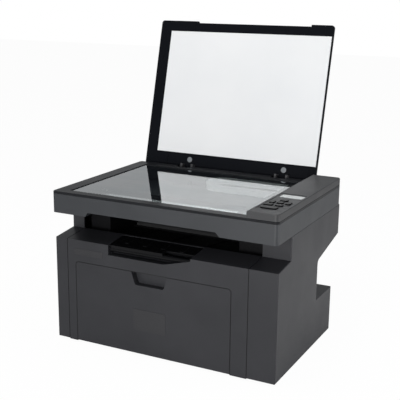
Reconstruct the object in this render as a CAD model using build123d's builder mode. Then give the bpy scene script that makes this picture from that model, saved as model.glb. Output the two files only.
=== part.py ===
from build123d import *
import math
import os

# Desktop laser printer with a flatbed scanner on top and its lid open.
# Sizes are millimetres. Places are measured from the left front corner of the scanner at
# floor level, and the finished pieces are moved so that the origin is under the middle.

# Overall sizes
WIDTH = 380.0
DEPTH = 270.0
FOOT_HEIGHT = 5.0
SHOULDER_Z = 173.0
SCANNER_Z = 215.0
BEZEL_TOP = 249.2
PANEL_HEIGHT = 10.3
LID_LEAN = 104.2

# Walls and clearances
WALL = 2.5
SEAM = 0.5
FRONT_SEAM = 1.2
REST_GAP = 0.3
RUNNING = 0.05
PAPER_GAP = 0.5
MESH_GAP = 0.2
CORNER = 6.0

# Lower body in profile
BODY_FRONT = 6.7
BODY_REAR = 244.6
UPRIGHT_Y = 54.7
SHOULDER_RISE = 5.3
WAIST_Y = 172.8
LEDGE_Z = 80.0
WAIST_TOP = 138.6
OVERHANG_Z = 165.5
ARC_START = (178.7, 145.9)
ARC_MIDDLE = (174.4, 143.3)
LEFT_COLUMN = 21.5
RIGHT_COLUMN = 45.0

# Front cover and its tray flap
COVER_Z = 3.0
HINGE_Y = BODY_FRONT + 7.3
HINGE_Z = 9.5
FLAP_LEFT = 37.9
FLAP_RIGHT = 307.1
FLAP_TOP = 137.1
FLAP_BOTTOM = 4.5
FLAP_CORNER = 4.5
FLANGE_DEPTH = 11.0
EAR_THICK = 4.0
COVER_PIN_R = 2.0
FLAP_PIN_R = 1.6
GRIP_LEFT = 139.0
GRIP_RIGHT = 202.0
GRIP_BOTTOM = 117.0
STOP_LEFT = 98.0
STOP_RIGHT = 241.0
STOP_HINGE = (BODY_FRONT + 7.3, 166.0)
STOP_BARREL_R = 4.0
STOP_FLOOR = 157.0

# Printing unit: shaft places (y, z) and roller radii
FRAME_LEFT = 30.0
FRAME_RIGHT = 324.0
FRAME_THICK = 3.0
SHAFT_R = 3.0
GEAR_X = 22.0
GEAR_THICK = 6.0
DRIVE_AT = (112.0, 104.0)
MOTOR_AT = (92.0, 88.0)
DRUM_AT = (137.5, 88.0)
DRUM_R = 12.0
TRANSFER_R = 8.0
TRANSFER_AT = (DRUM_AT[0] + DRUM_R + TRANSFER_R + PAPER_GAP, DRUM_AT[1])
FUSER_AT = (138.0, 128.0)
FUSER_R = 10.0
PRESSURE_R = 10.5
PRESSURE_AT = (FUSER_AT[0] + FUSER_R + PRESSURE_R + PAPER_GAP, FUSER_AT[1])
REGISTRATION_AT = (160.0, 67.0)
REGISTRATION_R = 7.0
PICKUP_AT = (180.0, 45.0)
PICKUP_R = 14.0
EXIT_AT = (160.0, 163.0)
EXIT_R = 6.5
PINCH_R = 5.0
PINCH_AT = (EXIT_AT[0], EXIT_AT[1] + EXIT_R + PINCH_R + PAPER_GAP)
EXIT_IDLER_AT = (150.0, 150.0)
DRIVE_GEAR_R = 17.0
STUB_R = 2.5

# Output bay
BAY_FRONT = 75.0
BAY_LEFT = 58.5
BAY_RIGHT = 288.5
BAY_REAR = 148.0
SLOT_BOTTOM = 165.0
SLOT_TOP = 180.0

# Rear door in the waist
DOOR_LEFT = 60.0
DOOR_RIGHT = 300.0
DOOR_TOP = 133.0
DOOR_HINGE = (170.6, 88.0)
DOOR_BARREL_R = 2.6
DOOR_PIN_R = 1.5

# Scanner
WINDOW_LEFT = 22.7
WINDOW_RIGHT = 331.6
WINDOW_FRONT = 16.2
WINDOW_REAR = 247.7
GLASS_TOP = 248.0
GLASS_THICK = 3.0
GLASS_MARGIN = 6.2
BEZEL_Z = 245.6
BASE_TOP = 245.2
NOTCH_LEFT = 61.0
NOTCH_RIGHT = 292.0
NOTCH_DEPTH = 30.0
NOTCH_HEIGHT = 6.5
RAIL_AT = (100.0, 224.0)
RAIL_R = 4.0
BELT_Y = 130.0
BELT_Z = 219.6
BELT_WIDTH = 6.0
PULLEY_R = 6.0
BELT_THICK = 1.2
PULLEY_LEFT = 12.0
PULLEY_RIGHT = 352.0
CARRIAGE_LEFT = 300.0
CARRIAGE_WIDTH = 26.0
CARRIAGE_BOTTOM = 229.0
CARRIAGE_TOP = 243.5

# Lid and its hinges
CLEVIS_Z = 228.0
CLEVIS_HALF = 14.2
CLEVIS_FRONT = 258.5
BEAM_FRONT = 256.0
BEAM_END = 6.5
LIP = 5.0
POST_FRONT = 259.2
MOTOR_Z = 227.0
AXIS_Y = 273.2
AXIS_Z = 239.4
HINGE_X = (91.0, 272.2)
POST_HALF = 7.9
POST_DEPTH = 7.8
CHEEK_THICK = 4.0
KNUCKLE_R = 5.5
LID_PIN_R = 2.0
LID_LEFT = 0.7
LID_RIGHT = WINDOW_RIGHT - 0.6
LID_REAR = 3.4
LID_LENGTH = 267.0
LID_BACK = 30.0
LID_FRAME_Z = 10.1
CAP_RISE = 0.2
PAD_LEFT = WINDOW_LEFT + 0.6
PAD_RIGHT = LID_RIGHT - 2.4
PAD_REAR = 31.9
PAD_LENGTH = 219.5
PAD_Z = GLASS_TOP + REST_GAP - AXIS_Z
GRIP_CUT = 3.0

# Control panel
PANEL_LEFT = WINDOW_RIGHT
PANEL_TOP = BEZEL_TOP + PANEL_HEIGHT
INSET = 0.6
BOARD_Z = BEZEL_TOP + 1.0
BOARD_THICK = 1.6
BUTTON_RISE = 1.5
DISPLAY = (340.0, 376.0, 100.0, 117.0)
BUTTONS = {
    "button_upper_wide": (343.5, 50.0, 14.0, 9.0),
    "button_lower_wide": (352.0, 33.0, 25.0, 12.0),
    "button_left": (343.5, 66.0, 8.0, 12.0),
    "button_up": (356.0, 81.0, 12.0, 9.0),
    "button_centre": (356.0, 66.0, 10.0, 10.0),
    "button_right": (368.5, 66.0, 8.0, 12.0),
    "button_down": (360.0, 50.5, 12.0, 8.0),
}

# Paper lift plate and power supply on the base pan
LIFT_LEFT = 62.0
LIFT_RIGHT = 298.0
LIFT_HINGE = (44.0, 10.2)
LIFT_PIN_R = 1.5
LIFT_TOP = 11.0
SUPPLY_Z = 10.5

# Fittings of the rear panel
INLET_X = (250.0, 278.0)
INLET_Z = (26.0, 48.0)
USB_X = (214.0, 227.0)
USB_Z = (30.0, 42.0)
SWITCH_X = (292.0, 305.0)
SWITCH_Z = (26.0, 48.0)
SWITCH_AT = (BODY_REAR - 1.3, (SWITCH_Z[0] + SWITCH_Z[1]) / 2)

pieces = {}


def slab(x, y, z, mode=Mode.ADD):
    """A box between two x, two y and two z places."""
    middle = ((x[0] + x[1]) / 2, (y[0] + y[1]) / 2, (z[0] + z[1]) / 2)
    with Locations(middle):
        Box(x[1] - x[0], y[1] - y[0], z[1] - z[0], mode=mode)


def rod(x, at, radius, mode=Mode.ADD):
    """A cylinder along X between two x places, centred on (y, z)."""
    with Locations(Location(((x[0] + x[1]) / 2, at[0], at[1]), (0, 90, 0))):
        Cylinder(radius, x[1] - x[0], mode=mode)


def post(at, z, radius, mode=Mode.ADD):
    """An upright cylinder between two heights, centred on (x, y)."""
    with Locations((at[0], at[1], (z[0] + z[1]) / 2)):
        Cylinder(radius, z[1] - z[0], mode=mode)


def stud(at, y, radius, mode=Mode.ADD):
    """A cylinder along Y between two y places, centred on (x, z)."""
    with Locations(Location((at[0], (y[0] + y[1]) / 2, at[1]), (90, 0, 0))):
        Cylinder(radius, y[1] - y[0], mode=mode)


def profile(points, x, mode=Mode.ADD):
    """A straight-sided (y, z) outline extruded between two x places."""
    with BuildSketch(Plane.YZ.offset(x[0])) as section:
        with BuildLine():
            Polyline(*points, close=True)
        make_face()
    extrude(section.sketch, amount=x[1] - x[0], mode=mode)


def export(builder, name):
    """Keep a finished piece under its name."""
    pieces[name] = builder.part


def write_pieces():
    """Move every piece to the shared origin, on the floor in the middle of the whole, and write it."""
    depth = max(piece.bounding_box().max.Y for piece in pieces.values())
    to_centre = Location((-WIDTH / 2, -depth / 2, 0))
    os.makedirs("parts", exist_ok=True)
    for name, part in pieces.items():
        piece = part.moved(to_centre)
        piece.label = name
        export_step(piece, f"parts/{name}.step")
    return depth


def distance(a, b):
    return math.hypot(a[0] - b[0], a[1] - b[1])


def mesh_radius(at, other_at, other_radius):
    """Radius of a gear that runs against a gear of known radius."""
    return distance(at, other_at) - other_radius - MESH_GAP


def teeth(x, at, radius):
    """A toothed wheel along X with square-topped teeth as large as radius."""
    tooth = 1.6
    count = int(2 * math.pi * radius / (2.2 * tooth))
    with BuildSketch(Plane.YZ.offset(x[0])) as wheel:
        with Locations(at):
            Circle(radius - tooth)
            with PolarLocations(radius - tooth, count):
                Rectangle(2 * tooth - 0.01, tooth)
    extrude(wheel.sketch, amount=x[1] - x[0])


def shoulder(y):
    """Height of the sloping shoulder at a place y."""
    return SHOULDER_Z + SHOULDER_RISE * (y - BODY_FRONT) / (UPRIGHT_Y - BODY_FRONT)


def body_outline():
    """The edges of the lower body's side profile, as (y, z)."""
    with BuildLine() as outline:
        Polyline(
            ARC_START,
            (DEPTH, OVERHANG_Z),
            (DEPTH, SCANNER_Z),
            (UPRIGHT_Y, SCANNER_Z),
            (UPRIGHT_Y, shoulder(UPRIGHT_Y)),
            (BODY_FRONT, SHOULDER_Z),
            (BODY_FRONT, FOOT_HEIGHT),
            (BODY_REAR, FOOT_HEIGHT),
            (BODY_REAR, LEDGE_Z),
            (WAIST_Y, LEDGE_Z),
            (WAIST_Y, WAIST_TOP),
        )
        ThreePointArc((WAIST_Y, WAIST_TOP), ARC_MIDDLE, ARC_START)
    return outline.edges()


def side_cover(outer_x, width):
    """One side cover: outer wall with a rim as deep as its front column."""
    inward = 1 if width > 0 else -1
    with BuildPart() as cover:
        with BuildSketch(Plane.YZ.offset(outer_x)):
            make_face(body_outline())
        extrude(amount=width)
        outer_edges = cover.edges().filter_by_position(Axis.X, outer_x, outer_x)
        fillet(outer_edges, radius=1.2)
        with BuildSketch(Plane.YZ.offset(outer_x + inward * WALL)):
            make_face(body_outline())
            offset(amount=-WALL, kind=Kind.INTERSECTION, mode=Mode.REPLACE)
        extrude(amount=width, mode=Mode.SUBTRACT)
    return cover


def base_pan():
    ear_x = ((LEFT_COLUMN + 5.5, LEFT_COLUMN + 5.5 + EAR_THICK), (319.0, 319.0 + EAR_THICK))
    inner_right = WIDTH - RIGHT_COLUMN - SEAM
    with BuildPart() as pan:
        slab((LEFT_COLUMN + SEAM, inner_right), (26.0, BODY_REAR - WALL), (FOOT_HEIGHT, FOOT_HEIGHT + WALL))
        for x in ear_x:
            slab(x, (HINGE_Y, 30.0), (5.5, 13.5))
            rod(x, (HINGE_Y, HINGE_Z), 4.2)
            rod(x, (HINGE_Y, HINGE_Z), COVER_PIN_R + RUNNING, Mode.SUBTRACT)
        for x in ((LIFT_LEFT - 3.3, LIFT_LEFT - 0.4), (LIFT_RIGHT + 0.4, LIFT_RIGHT + 3.3)):
            slab(x, (LIFT_HINGE[0] - 4, LIFT_HINGE[0] + 4), (FOOT_HEIGHT + WALL, LIFT_HINGE[1] + 3))
            rod(x, LIFT_HINGE, LIFT_PIN_R + RUNNING, Mode.SUBTRACT)
        for x in (215.0, 312.0):
            for y in (210.0, 234.0):
                post((x, y), (FOOT_HEIGHT + WALL, SUPPLY_Z), 3.0)
    export(pan, "base_pan")


def feet():
    with BuildPart() as pads:
        for x in (11.0, WIDTH - 12.0):
            for y in (24.0, 230.0):
                post((x, y), (0, FOOT_HEIGHT), 7.5)
        chamfer(pads.edges().filter_by_position(Axis.Z, 0, 0), length=1.0)
    export(pads, "rubber_feet")


# Paper lift plate in the bottom of the machine


def lift_plate():
    with BuildPart() as plate:
        slab((LIFT_LEFT, LIFT_RIGHT), (LIFT_HINGE[0], 168.0), (LIFT_TOP - 1.6, LIFT_TOP))
        rod((LIFT_LEFT, LIFT_RIGHT), LIFT_HINGE, 2.2)
        rod((LIFT_LEFT - 3.0, LIFT_RIGHT + 3.0), LIFT_HINGE, LIFT_PIN_R)
        for x in (100.0, 240.0):
            slab((x, x + 20), (150.0, 160.0), (LIFT_TOP - 3, LIFT_TOP + 3), Mode.SUBTRACT)
    export(plate, "paper_lift_plate")


def paper_guides():
    for name, wall_x, foot_x in (
        ("paper_guide_left", (70.0, 72.4), (72.4, 92.0)),
        ("paper_guide_right", (287.6, 290.0), (268.0, 287.6)),
    ):
        with BuildPart() as guide:
            slab(wall_x, (60.0, 145.0), (LIFT_TOP + REST_GAP, 34.0))
            slab(foot_x, (80.0, 120.0), (LIFT_TOP + REST_GAP, LIFT_TOP + REST_GAP + 1.6))
            slab(wall_x, (54.0, 60.0), (LIFT_TOP + REST_GAP, 26.0))
        export(guide, name)


def shaft_places():
    return (DRUM_AT, TRANSFER_AT, FUSER_AT, PRESSURE_AT, REGISTRATION_AT, PICKUP_AT)


def frames():
    outline = (
        (32.0, FOOT_HEIGHT + WALL),
        (238.0, FOOT_HEIGHT + WALL),
        (238.0, 74.0),
        (168.0, 74.0),
        (168.0, 170.0),
        (80.0, 170.0),
        (60.0, 150.0),
        (32.0, 100.0),
    )
    with BuildPart() as frame:
        for left in (FRAME_LEFT, FRAME_RIGHT):
            x = (left, left + FRAME_THICK)
            profile(outline, x)
            for at in shaft_places():
                rod(x, at, SHAFT_R + RUNNING, Mode.SUBTRACT)
        rod((FRAME_LEFT, FRAME_LEFT + FRAME_THICK), EXIT_AT, SHAFT_R + RUNNING, Mode.SUBTRACT)
        for at in (DRIVE_AT, EXIT_IDLER_AT):
            rod((GEAR_X - 1.5, FRAME_LEFT), at, STUB_R)
    export(frame, "side_frames")


def roller(name, at, radius, gear_radius, rubber_x, shaft_x):
    """A roller with its shaft and, where it is driven, its gear."""
    with BuildPart() as piece:
        rod(shaft_x, at, SHAFT_R)
        rod(rubber_x, at, radius)
        if gear_radius:
            teeth((GEAR_X, GEAR_X + GEAR_THICK), at, gear_radius)
    export(piece, name)


def rollers():
    drum_gear = mesh_radius(DRUM_AT, DRIVE_AT, DRIVE_GEAR_R)
    fuser_gear = mesh_radius(FUSER_AT, DRIVE_AT, DRIVE_GEAR_R)
    transfer_gear = mesh_radius(TRANSFER_AT, DRUM_AT, drum_gear)
    registration_gear = mesh_radius(REGISTRATION_AT, TRANSFER_AT, transfer_gear)
    pickup_gear = mesh_radius(PICKUP_AT, REGISTRATION_AT, registration_gear)
    idler_gear = mesh_radius(EXIT_IDLER_AT, FUSER_AT, fuser_gear)
    exit_gear = mesh_radius(EXIT_AT, EXIT_IDLER_AT, idler_gear)
    motor_gear = mesh_radius(MOTOR_AT, DRIVE_AT, DRIVE_GEAR_R)
    driven = (GEAR_X - 1.5, FRAME_RIGHT + FRAME_THICK)
    plain = (FRAME_LEFT, FRAME_RIGHT + FRAME_THICK)
    full = (38.5, 318.5)
    roller("drum", DRUM_AT, DRUM_R, drum_gear, full, driven)
    roller("transfer_roller", TRANSFER_AT, TRANSFER_R, transfer_gear, full, driven)
    roller("fuser_roller", FUSER_AT, FUSER_R, fuser_gear, full, driven)
    roller("pressure_roller", PRESSURE_AT, PRESSURE_R, None, full, plain)
    roller("registration_roller", REGISTRATION_AT, REGISTRATION_R, registration_gear, full, driven)
    roller("pickup_roller", PICKUP_AT, PICKUP_R, pickup_gear, (160.0, 200.0), driven)
    exit_end = BAY_RIGHT + WALL
    roller("exit_roller", EXIT_AT, EXIT_R, exit_gear, (BAY_LEFT + 2, BAY_RIGHT - 2), (GEAR_X - 1.5, exit_end))
    with BuildPart() as pinch:
        rod((BAY_LEFT - WALL, exit_end), PINCH_AT, 2.0)
        for x in (90.0, 160.0, 230.0):
            rod((x, x + 20), PINCH_AT, PINCH_R)
    export(pinch, "exit_pinch_roller")
    for name, at, radius in (
        ("drive_gear", DRIVE_AT, DRIVE_GEAR_R),
        ("exit_idler_gear", EXIT_IDLER_AT, idler_gear),
    ):
        with BuildPart() as gear:
            teeth((GEAR_X, GEAR_X + GEAR_THICK), at, radius)
            rod((GEAR_X - 1, GEAR_X + GEAR_THICK + 1), at, STUB_R + RUNNING, Mode.SUBTRACT)
        export(gear, name)
    with BuildPart() as pinion:
        teeth((GEAR_X, GEAR_X + GEAR_THICK), MOTOR_AT, motor_gear)
        rod((GEAR_X - 1, GEAR_X + GEAR_THICK + 1), MOTOR_AT, STUB_R + RUNNING, Mode.SUBTRACT)
    export(pinion, "motor_pinion")


def main_motor():
    with BuildPart() as motor:
        rod((4.5, 19.5), MOTOR_AT, 18.0)
        rod((19.5, GEAR_X + GEAR_THICK), MOTOR_AT, STUB_R)
        for angle in (120, 200, 290):
            turn = math.radians(angle)
            at = (MOTOR_AT[0] + 14 * math.cos(turn), MOTOR_AT[1] + 14 * math.sin(turn))
            rod((19.5, FRAME_LEFT), at, 2.0)
    export(motor, "main_motor")


def toner_cartridge():
    inner_left = FRAME_LEFT + FRAME_THICK + 0.4
    inner_right = FRAME_RIGHT - 0.4
    back = DRUM_AT[0] - DRUM_R - 0.8
    body = ((46.0, 72.0), (back - 6, 66.0), (back, 80.0), (back, 112.0), (96.0, 118.0), (46.0, 112.0))
    arm = ((100.0, 72.0), (146.0, 78.0), (146.0, 98.0), (100.0, 110.0))
    with BuildPart() as cartridge:
        profile(body, (inner_left, inner_right))
        for x in ((inner_left, inner_left + 3.0), (inner_right - 3.0, inner_right)):
            profile(arm, x)
            rod(x, DRUM_AT, SHAFT_R + RUNNING, Mode.SUBTRACT)
        slab((140.0, 220.0), (36.0, 46.0), (88.0, 98.0))
        slab((148.0, 212.0), (36.0 - 1, 42.0), (85.0, 95.0), Mode.SUBTRACT)
    export(cartridge, "toner_cartridge")


def laser_unit():
    with BuildPart() as unit:
        slab((FRAME_LEFT + FRAME_THICK, FRAME_RIGHT), (62.0, 125.0), (124.0, 146.0))
        slab((70.0, 285.0), (118.0, 126.0), (128.0, 138.0), Mode.SUBTRACT)
        slab((60.0, 300.0), (70.0, 110.0), (146.0, 149.0))
    export(unit, "laser_unit")


def output_tray():
    wide = (
        (UPRIGHT_Y + SEAM, shoulder(UPRIGHT_Y)),
        (62.0, 175.4),
        (BAY_FRONT, 173.4),
        (BAY_FRONT, 170.9),
        (UPRIGHT_Y + SEAM, 171.6),
    )
    floor = ((BAY_FRONT, 173.4), (BAY_REAR, 163.0), (BAY_REAR, 160.5), (BAY_FRONT, 170.9))
    with BuildPart() as tray:
        profile(wide, (LEFT_COLUMN + SEAM, WIDTH - RIGHT_COLUMN - SEAM))
        profile(floor, (BAY_LEFT + REST_GAP, BAY_RIGHT - REST_GAP))
        for x in (110.0, 173.0, 236.0):
            rib = ((68.0, 174.0), (BAY_REAR - 2, 162.8), (BAY_REAR - 2, 164.6), (68.0, 175.8))
            profile(rib, (x, x + 1.6))
    export(tray, "output_tray")


def exit_housing():
    inner_left = LEFT_COLUMN + SEAM
    inner_right = WIDTH - RIGHT_COLUMN - SEAM
    top = SCANNER_Z - REST_GAP
    with BuildPart() as housing:
        slab((inner_left, BAY_LEFT), (BAY_FRONT, BAY_FRONT + WALL), (173.4, top))
        slab((BAY_RIGHT, inner_right), (BAY_FRONT, BAY_FRONT + WALL), (173.4, top))
        for x in ((BAY_LEFT - WALL, BAY_LEFT), (BAY_RIGHT, BAY_RIGHT + WALL)):
            slab(x, (BAY_FRONT, 167.5), (156.0, top))
            rod(x, EXIT_AT, SHAFT_R + RUNNING, Mode.SUBTRACT)
            rod(x, PINCH_AT, 2.0 + RUNNING, Mode.SUBTRACT)
        slab((BAY_LEFT, BAY_RIGHT), (BAY_REAR, BAY_REAR + WALL), (156.0, SLOT_BOTTOM))
        slab((BAY_LEFT, BAY_RIGHT), (BAY_REAR, BAY_REAR + WALL), (SLOT_TOP, top))
        slab((BAY_LEFT, BAY_RIGHT), (BAY_FRONT, BAY_REAR), (top - WALL, top))
    export(housing, "exit_housing")


def rear_panel():
    x = (LEFT_COLUMN + SEAM, WIDTH - RIGHT_COLUMN - SEAM)
    far = 400.0
    with BuildPart() as panel:
        with BuildSketch(Plane.YZ.offset(x[0])) as ring:
            make_face(body_outline())
            offset(amount=-WALL, kind=Kind.INTERSECTION, mode=Mode.SUBTRACT)
        extrude(amount=x[1] - x[0])
        slab((0, far), (-10.0, 168.5), (-1.0, far), Mode.SUBTRACT)
        slab((0, far), (168.0, BODY_REAR - WALL), (-1.0, FOOT_HEIGHT + WALL), Mode.SUBTRACT)
        slab((0, far), (168.0, DEPTH - WALL), (SCANNER_Z - WALL, far), Mode.SUBTRACT)
        for ear in ((DOOR_LEFT - 5.0, DOOR_LEFT), (DOOR_RIGHT, DOOR_RIGHT + 5.0)):
            slab(ear, (DOOR_HINGE[0] - 4.0, WAIST_Y), (DOOR_HINGE[1] - 4.0, DOOR_HINGE[1] + 4.0))
        door_low = DOOR_HINGE[1] - DOOR_BARREL_R - REST_GAP
        slab((DOOR_LEFT, DOOR_RIGHT), (160.0, WAIST_Y + 1), (door_low, DOOR_TOP + SEAM), Mode.SUBTRACT)
        rod((DOOR_LEFT - 3.4, DOOR_RIGHT + 3.4), DOOR_HINGE, DOOR_PIN_R + RUNNING, Mode.SUBTRACT)
        for step in range(14):
            left = 110.0 + step * 10.0
            slab((left, left + 4.0), (DEPTH - WALL - 1, DEPTH + 1), (182.0, 204.0), Mode.SUBTRACT)
        slab(INLET_X, (BODY_REAR - 6, BODY_REAR + 1), INLET_Z, Mode.SUBTRACT)
        slab(USB_X, (BODY_REAR - 6, BODY_REAR + 1), USB_Z, Mode.SUBTRACT)
        slab(SWITCH_X, (BODY_REAR - 6, BODY_REAR + 1), SWITCH_Z, Mode.SUBTRACT)
        rod((SWITCH_X[0] - 2.0, SWITCH_X[1] + 2.0), SWITCH_AT, 1.5 + RUNNING, Mode.SUBTRACT)
    export(panel, "rear_panel")


# Sockets and the switch on the rear face


def rear_door():
    x = (DOOR_LEFT + SEAM, DOOR_RIGHT - SEAM)
    with BuildPart() as door:
        slab(x, (WAIST_Y - WALL, WAIST_Y), (DOOR_HINGE[1], DOOR_TOP))
        rod(x, DOOR_HINGE, DOOR_BARREL_R)
        rod((x[0] - 3.2, x[1] + 3.2), DOOR_HINGE, DOOR_PIN_R)
        for place in range(8):
            left = 90.0 + place * 24.0
            slab((left, left + 3.0), (WAIST_Y - 7.0, WAIST_Y - WALL), (94.0, 114.0))
    export(door, "rear_cover")


def sockets():
    with BuildPart() as inlet:
        slab(
            (INLET_X[0] + 0.2, INLET_X[1] - 0.2),
            (BODY_REAR - 18, BODY_REAR),
            (INLET_Z[0] + 0.2, INLET_Z[1] - 0.2),
        )
        slab((INLET_X[0] + 2.2, INLET_X[1] - 2.2), (BODY_REAR - 15, BODY_REAR + 1), (28.2, 45.8), Mode.SUBTRACT)
        for place, height in ((258.0, 35.0), (270.0, 35.0), (264.0, 40.0)):
            slab((place - 1, place + 1), (BODY_REAR - 15, BODY_REAR - 3), (height - 2, height + 2))
        slab((USB_X[0] + 0.2, USB_X[1] - 0.2), (BODY_REAR - 16, BODY_REAR), (USB_Z[0] + 0.2, USB_Z[1] - 0.2))
        slab((USB_X[0] + 1.2, USB_X[1] - 1.2), (BODY_REAR - 13, BODY_REAR + 1), (31.2, 40.8), Mode.SUBTRACT)
        slab((218.0, 223.0), (BODY_REAR - 13, BODY_REAR - 2), (34.5, 37.5))
    export(inlet, "rear_sockets")
    with BuildPart() as rocker:
        with BuildSketch(Plane.YZ.offset(SWITCH_X[0] + 0.4)):
            with BuildLine():
                Polyline(
                    (BODY_REAR - 4.5, SWITCH_AT[1] - 5),
                    (BODY_REAR + 0.2, SWITCH_AT[1] - 9.6),
                    (BODY_REAR + 0.4, SWITCH_AT[1]),
                    (BODY_REAR + 3.0, SWITCH_AT[1] + 9.2),
                    (BODY_REAR - 4.5, SWITCH_AT[1] + 5),
                    close=True,
                )
            make_face()
        extrude(amount=SWITCH_X[1] - SWITCH_X[0] - 0.8)
        rod((SWITCH_X[0] - 1.6, SWITCH_X[1] + 1.6), SWITCH_AT, 1.5)
    export(rocker, "power_switch")


def electronics():
    with BuildPart() as board:
        slab((329.0, 330.6), (70.0, 160.0), (20.0, 140.0))
        for y in (76.0, 154.0):
            for z in (26.0, 134.0):
                rod((FRAME_RIGHT + FRAME_THICK, 329.0), (y, z), 2.5)
        slab((330.6, 333.0), (100.0, 125.0), (80.0, 105.0))
        slab((330.6, 340.0), (76.0, 84.0), (40.0, 100.0))
        for z in (30.0, 45.0, 60.0):
            slab((330.6, 336.0), (110.0, 125.0), (z, z + 8))
        slab((208.0, 320.0), (205.0, 240.0), (SUPPLY_Z, SUPPLY_Z + 1.6))
        slab((285.0, 315.0), (206.0, 222.0), (SUPPLY_Z + 1.6, 38.0))
        post((270.0, 214.0), (SUPPLY_Z + 1.6, 44.0), 8.0)
        slab((235.0, 255.0), (208.0, 212.0), (SUPPLY_Z + 1.6, 46.0))
        slab((PANEL_LEFT + 4, WIDTH - 4), (18.0, 124.0), (BOARD_Z, BOARD_Z + BOARD_THICK))
        for place in (PANEL_LEFT + 6, WIDTH - 6):
            for y in (20.0, 122.0):
                post((place, y), (BEZEL_TOP, BOARD_Z), 1.6)
    export(board, "circuit_boards")


def case_screws():
    with BuildPart() as screws:
        for x in (40.0, 318.0):
            for z, face in ((20.0, BODY_REAR), (66.0, BODY_REAR), (208.0, DEPTH)):
                stud((x, z), (face, face + 1.6), 3.0)
                slab((x - 2.2, x + 2.2), (face + 1.0, face + 2.0), (z - 0.4, z + 0.4), Mode.SUBTRACT)
    export(screws, "case_screws")


def front_cover():
    left = LEFT_COLUMN + FRONT_SEAM
    right = WIDTH - RIGHT_COLUMN - FRONT_SEAM
    jamb_left = FLAP_LEFT - FRONT_SEAM
    jamb_right = FLAP_RIGHT + FRONT_SEAM
    header = FLAP_TOP + FRONT_SEAM
    inside = BODY_FRONT + WALL
    section = (
        (BODY_FRONT, COVER_Z),
        (BODY_FRONT, SHOULDER_Z),
        (UPRIGHT_Y, shoulder(UPRIGHT_Y)),
        (UPRIGHT_Y, shoulder(UPRIGHT_Y) - WALL),
        (inside, shoulder(inside) - WALL),
        (inside, COVER_Z),
    )
    pocket_block = (
        (inside, STOP_FLOOR - WALL),
        (inside, shoulder(inside) - 1),
        (UPRIGHT_Y, shoulder(UPRIGHT_Y) - 1),
        (UPRIGHT_Y, shoulder(UPRIGHT_Y) - 8),
        (26.0, STOP_FLOOR - WALL),
    )
    pocket = (
        (BODY_FRONT - 2, STOP_FLOOR),
        (22.0, STOP_FLOOR),
        (52.0, 172.0),
        (52.0, 182.0),
        (BODY_FRONT - 2, 182.0),
    )
    with BuildPart() as cover:
        profile(section, (left, right))
        slab((jamb_left, jamb_right), (0, inside + 1), (0, header), Mode.SUBTRACT)
        for x in ((left, left + WALL), (right - WALL, right)):
            slab(x, (inside, inside + FLANGE_DEPTH), (COVER_Z + 2.5, shoulder(inside) - 1))
        for x in ((jamb_left - WALL, jamb_left), (jamb_right, jamb_right + WALL)):
            slab(x, (inside, inside + FLANGE_DEPTH), (COVER_Z + 2.5, header + WALL))
        slab((jamb_left, jamb_right), (inside, inside + FLANGE_DEPTH), (header, header + WALL))
        profile(pocket_block, (STOP_LEFT - 3, STOP_RIGHT + 3))
        profile(pocket, (STOP_LEFT, STOP_RIGHT), Mode.SUBTRACT)
        with BuildSketch(Plane.XZ.offset(-inside)):
            with BuildLine():
                Polyline(
                    (STOP_RIGHT, STOP_FLOOR),
                    (STOP_RIGHT, SHOULDER_Z - 4),
                    (STOP_RIGHT - 34, STOP_FLOOR + 3),
                    (STOP_RIGHT - 46, STOP_FLOOR),
                    close=True,
                )
            make_face()
        extrude(amount=WALL)
        pin_radius = FLAP_PIN_R + RUNNING
        rod((STOP_LEFT - 2.6, STOP_RIGHT + 2.6), STOP_HINGE, pin_radius, Mode.SUBTRACT)
        rod((left + WALL, jamb_left - WALL), (HINGE_Y, HINGE_Z), COVER_PIN_R)
        rod((jamb_right + WALL, right - WALL), (HINGE_Y, HINGE_Z), COVER_PIN_R)
        rod((jamb_left - WALL, jamb_left), (HINGE_Y, HINGE_Z), pin_radius, Mode.SUBTRACT)
        rod((jamb_right, jamb_right + WALL), (HINGE_Y, HINGE_Z), pin_radius, Mode.SUBTRACT)
        jambs = [
            edge
            for edge in cover.edges().filter_by(Axis.Y).filter_by_position(Axis.Z, header - 0.1, header + 0.1)
            if min(abs(edge.center().X - jamb_left), abs(edge.center().X - jamb_right)) < 0.1
        ]
        fillet(jambs, radius=FLAP_CORNER + FRONT_SEAM)
        front_low = cover.edges().filter_by(Axis.X).group_by(Axis.Z)[0].sort_by(Axis.Y)
        fillet([edge for edge in front_low if edge.center().Y < BODY_FRONT + 0.1], radius=2.0)
    export(cover, "front_cover")


def paper_stop():
    side = 0.4
    x = (STOP_LEFT + side, STOP_RIGHT - side)
    plate = (
        (BODY_FRONT + 2.6, shoulder(BODY_FRONT + 2.6) - 0.4),
        (50.0, shoulder(50.0) - 0.2),
        (50.0, shoulder(50.0) - 2.8),
        (20.0, shoulder(20.0) - 3.4),
        (STOP_HINGE[0] + 2, STOP_HINGE[1] - 1),
        (STOP_HINGE[0] - 2.5, STOP_HINGE[1] - 1),
    )
    with BuildPart() as stop:
        profile(plate, x)
        rod(x, STOP_HINGE, STOP_BARREL_R)
        rod((x[0] - 2.6, x[1] + 2.6), STOP_HINGE, FLAP_PIN_R)
        for left in (118.0, 150.0, 182.0, 214.0):
            rib = ((24.0, shoulder(24.0) - 0.6), (46.0, shoulder(46.0) - 0.6), (46.0, shoulder(46.0) + 0.6), (24.0, shoulder(24.0) + 0.6))
            profile(rib, (left, left + 6))
        slab((STOP_RIGHT - 49, STOP_RIGHT), (0, 21.5), (STOP_HINGE[1], 190.0), Mode.SUBTRACT)
        rod(x, STOP_HINGE, STOP_BARREL_R)
    export(stop, "paper_stop")


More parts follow.
